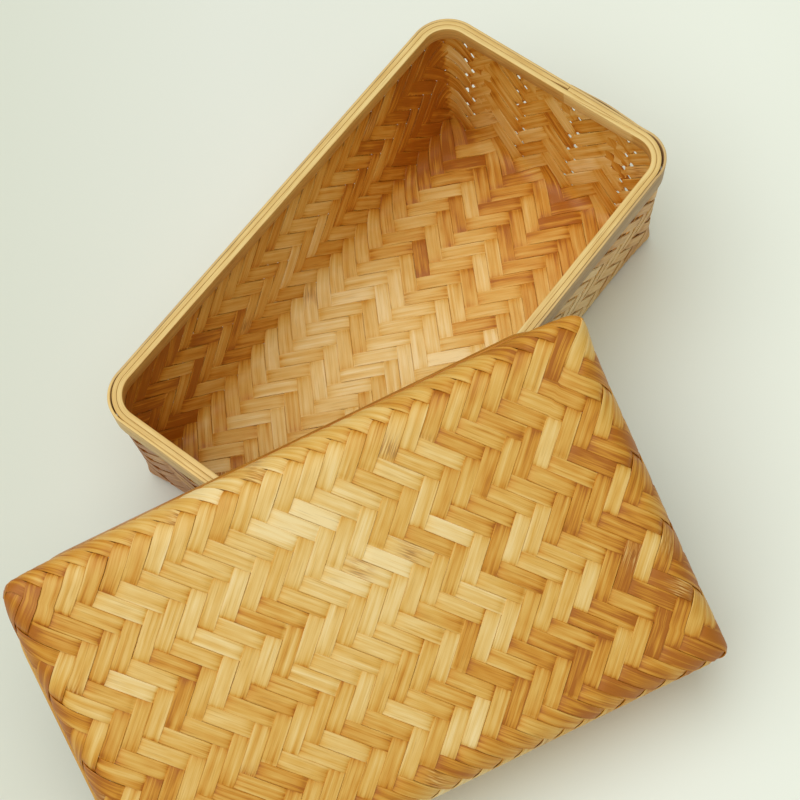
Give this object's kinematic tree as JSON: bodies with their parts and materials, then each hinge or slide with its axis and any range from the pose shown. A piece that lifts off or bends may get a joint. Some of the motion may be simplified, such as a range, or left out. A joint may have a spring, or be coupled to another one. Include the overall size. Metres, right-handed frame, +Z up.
{
  "type": "woven bamboo lunch box",
  "caption": "Rectangular woven bamboo lunch box: an open tray with flared walls and bent-strip rims, and a loose lid that leans on the tray's rim.",
  "frame": {"origin": "middle of the tray's underside, on the table", "axes": "+X along the tray's length towards the short side where the hoops lap, +Y across it away from the lid, +Z up out of the tray's mouth"},
  "size_m": [0.3187, 0.2181, 0.093],
  "materials": {
    "woven_strips": "split bamboo, satin, varied honey to orange-brown",
    "inner_hoop": "shaved bamboo, pale straw, satin",
    "outer_hoop": "bamboo skin, honey brown, satin",
    "rim_filler": "split bamboo, satin"
  },
  "bodies": {
    "tray": {"tray_woven_body": "woven_strips", "tray_rim_inner_hoop": "inner_hoop", "tray_rim_outer_hoop": "outer_hoop", "tray_rim_filler": "rim_filler"},
    "lid": {"lid_woven_body": "woven_strips", "lid_rim_inner_hoop": "inner_hoop", "lid_rim_outer_hoop": "outer_hoop", "lid_rim_filler": "rim_filler"}
  },
  "joints": [
    {"name": "lid_lift", "type": "slide", "parent": "tray", "child": "lid", "axis": [0, 0, 1], "range_m": [0, 0.1]}
  ]
}
